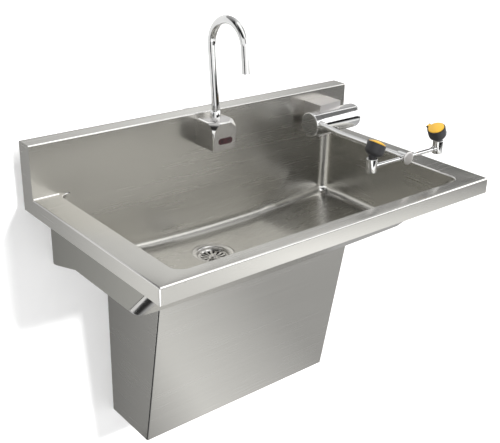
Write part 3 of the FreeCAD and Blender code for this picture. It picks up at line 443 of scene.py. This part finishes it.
# ---- Wall and floor
# Plain white surfaces that catch the object's shadow. They show only from their fronts.
def stage_plane(name, corners, material):
    mesh = bmesh.new()
    mesh.faces.new([mesh.verts.new(corner) for corner in corners])
    data = bpy.data.meshes.new(name)
    mesh.to_mesh(data)
    mesh.free()
    data.materials.append(material)
    plane = bpy.data.objects.new(name, data)
    bpy.context.scene.collection.objects.link(plane)
    return plane


glow_heights = (0.07, 0.14)
glow_left = (-0.54, -0.62)


def stage_white(name, low_light, high_light):
    """White that also shines by itself, and more above glow_heights or left of glow_left."""
    material = bpy.data.materials.new(name)
    material.use_nodes = True
    tree = material.node_tree
    tree.nodes.clear()
    shade = Shade(tree)
    lit = shade.node("ShaderNodeBsdfDiffuse", (0, (0.8, 0.8, 0.8, 1)))
    parted = shade.node("ShaderNodeSeparateXYZ", (0, object_place(shade)))
    beside = parted.output("X").between(*glow_left)
    above = parted.output("Z").between(*glow_heights)
    colour = shade.mix(above.greater(beside), (*[low_light] * 3, 1), (*[high_light] * 3, 1))
    glow = shade.node("ShaderNodeEmission", (0, colour), (1, 1.0))
    both = shade.node("ShaderNodeAddShader", (0, lit), (1, glow))
    behind = shade.node("ShaderNodeNewGeometry", out="Backfacing")
    clear = shade.node("ShaderNodeBsdfTransparent")
    both = shade.node("ShaderNodeMixShader", (0, behind), (1, both), (2, clear))
    shade.node("ShaderNodeOutputMaterial", (0, both))
    return material


def upright(x0, y0, x1, y1, z0, z1):
    return [(x0, y0, z0), (x1, y1, z0), (x1, y1, z1), (x0, y0, z1)]


def level(x0, x1, y0, y1, z):
    return [(x0, y0, z), (x1, y0, z), (x1, y1, z), (x0, y1, z)]


wall_y = 0.0015
floor_z = -0.87
half = 9.0
wall_white = stage_white("white_wall", 0.12, 0.7)
stage_plane("wall", upright(-half, wall_y, half, wall_y, floor_z, half), wall_white)
floor_white = stage_white("pale_floor", 0.5, 0.5)
stage_plane("floor", level(-half, half, -half, half, floor_z), floor_white)


# ---- Cards
# Plain cards in five greys that only the metal reflects, as a studio uses them to shape steel:
# white in front, above and to the right, darker on the wall and on the floor near the unit.
# Three black ones draw the dark lines in the chrome.
def stage_card(name, corners, tones):
    """A card that shines by itself; tones are pairs of an X and the brightness there."""
    material = bpy.data.materials.new(name)
    material.use_nodes = True
    tree = material.node_tree
    tree.nodes.clear()
    shade = Shade(tree)
    low, high = tones[0][0], tones[-1][0]
    brightest = max(tone for _, tone in tones)
    parted = shade.node("ShaderNodeSeparateXYZ", (0, object_place(shade)))
    along = shade.node("ShaderNodeMapRange", (0, parted.output("X")), (1, low), (2, high))
    stops = [((x - low) / (high - low), (*[tone / brightest] * 3, 1.0)) for x, tone in tones]
    colour = shade.node("ShaderNodeValToRGB", (0, along), stops=stops)
    glow = shade.node("ShaderNodeEmission", (0, colour), (1, brightest))
    shade.node("ShaderNodeOutputMaterial", (0, glow))
    plane = stage_plane(name, corners, material)
    plane.visible_camera = False
    plane.visible_diffuse = False
    plane.visible_shadow = False
    plane.visible_transmission = False


white = 1.7
pale = 1.0
grey = 0.5
dim = 0.2
black = 0.02
back_y = 0.0006
front_y = -2.6
middle_y = -1.2
left_x = -4.0
right_x = 3.0
low_z = floor_z + 0.002
splash_z = 0.137
roof_z = 2.2
for name, z0, z1, tones in (
    ("card_wall_low", low_z, splash_z, ((-0.9, pale), (-0.6, grey), (-0.2, dim), (0.6, grey))),
    ("card_wall_mid", splash_z, 0.5, ((-0.8, grey), (0.0, pale), (1.0, dim), (1.4, black))),
    ("card_wall_high", 0.5, 1.2, ((-0.3, black), (0.5, pale), (2.2, pale))),
    ("card_wall_top", 1.2, 4.0, ((0.0, grey), (1.5, white))),
):
    stage_card(name, upright(left_x, back_y, -left_x, back_y, z0, z1), tones)
near = ((-1.9, dim), (-1.2, black), (-0.45, black), (0.0, pale), (0.5, grey))
far = ((-1.2, white), (-0.2, pale), (0.5, pale), (1.0, white), (2.8, grey))
stage_card("card_floor_near", level(left_x, -left_x, middle_y, 0, low_z), near)
stage_card("card_floor_far", level(left_x, -left_x, front_y, middle_y, low_z), far)
for name, z0, z1, tones in (
    ("card_front_low", low_z, 0.2, ((0.6, white), (1.8, dim))),
    ("card_front_mid", 0.2, 1.1, ((0.3, white), (2.7, white))),
    ("card_front_high", 1.1, roof_z, ((0.3, dim), (0.9, white))),
):
    stage_card(name, upright(-0.6, front_y, right_x, front_y, z0, z1), tones)
roof = ((-1.0, black), (0.5, white), (2.0, dim))
stage_card("card_roof", level(left_x, right_x, front_y, 0, roof_z), roof)
for name, tone, corners in (
    ("card_right", white, upright(right_x, front_y, right_x, 0, low_z, roof_z)),
    ("card_camera_side", pale, upright(-4.5, -1.0, -0.6, -4.2, low_z, roof_z)),
    ("card_left_line", black, upright(-3.2, -2.3, -3.2, -0.25, low_z, 0.5)),
    ("card_right_line", black, upright(2.95, front_y, 2.95, -0.8, low_z, -0.25)),
    ("card_front_line", black, upright(-0.6, front_y + 0.05, 2.9, front_y + 0.05, -0.7, 0.1)),
):
    stage_card(name, corners, ((left_x, tone), (right_x, tone)))

# ---- Lamps and sky
# One soft lamp from the front right, which casts the shadow on the wall, under an even white sky.
lamp = bpy.data.lights.new("key", "SUN")
lamp.energy = 3.0
lamp.angle = math.radians(7)
holder = bpy.data.objects.new("key", lamp)
holder.rotation_euler = Vector((-0.35, 1.0, -0.5)).to_track_quat("-Z", "Y").to_euler()
holder.visible_glossy = False
bpy.context.scene.collection.objects.link(holder)

world = bpy.data.worlds.new("studio")
world.use_nodes = True
bpy.context.scene.world = world
world.node_tree.nodes.clear()
shade = Shade(world.node_tree)
ray = shade.node("ShaderNodeLightPath")
seen = ray.output("Is Camera Ray")
for kind in ("Is Glossy Ray", "Is Transmission Ray"):
    seen = seen.greater(ray.output(kind))
on_object = shade.node("ShaderNodeBackground", (0, (1, 1, 1, 1)), (1, 0.55))
in_view = shade.node("ShaderNodeBackground", (0, (1, 1, 1, 1)), (1, 1.0))
sky = shade.node("ShaderNodeMixShader", (0, seen), (1, on_object), (2, in_view))
shade.node("ShaderNodeOutputWorld", (0, sky))

# ---- Camera
# To the front left of the unit and above it, with a small roll.
azimuth = math.radians(-39.4)
elevation = math.radians(23.7)
roll = math.radians(1.4)
outward = Vector((math.sin(azimuth), -math.cos(azimuth), 0.0)) * math.cos(elevation)
back = outward + Vector((0.0, 0.0, math.sin(elevation)))
right = (-back).cross(Vector((0, 0, 1))).normalized()
up = right.cross(-back)
right_rolled = right * math.cos(roll) + up * math.sin(roll)
up_rolled = up * math.cos(roll) - right * math.sin(roll)
view = Matrix((right_rolled, up_rolled, back)).transposed().to_4x4()
camera_place = (-1.2721, -1.7860, 0.7618)
optics = bpy.data.cameras.new("camera")
optics.sensor_width = 36.0
optics.sensor_fit = "HORIZONTAL"
optics.lens = 60.64
optics.clip_start = 0.05
camera = bpy.data.objects.new("camera", optics)
camera.matrix_world = Matrix.Translation(camera_place) @ view
bpy.context.scene.collection.objects.link(camera)
bpy.context.scene.camera = camera

bpy.context.scene.view_settings.view_transform = "Standard"
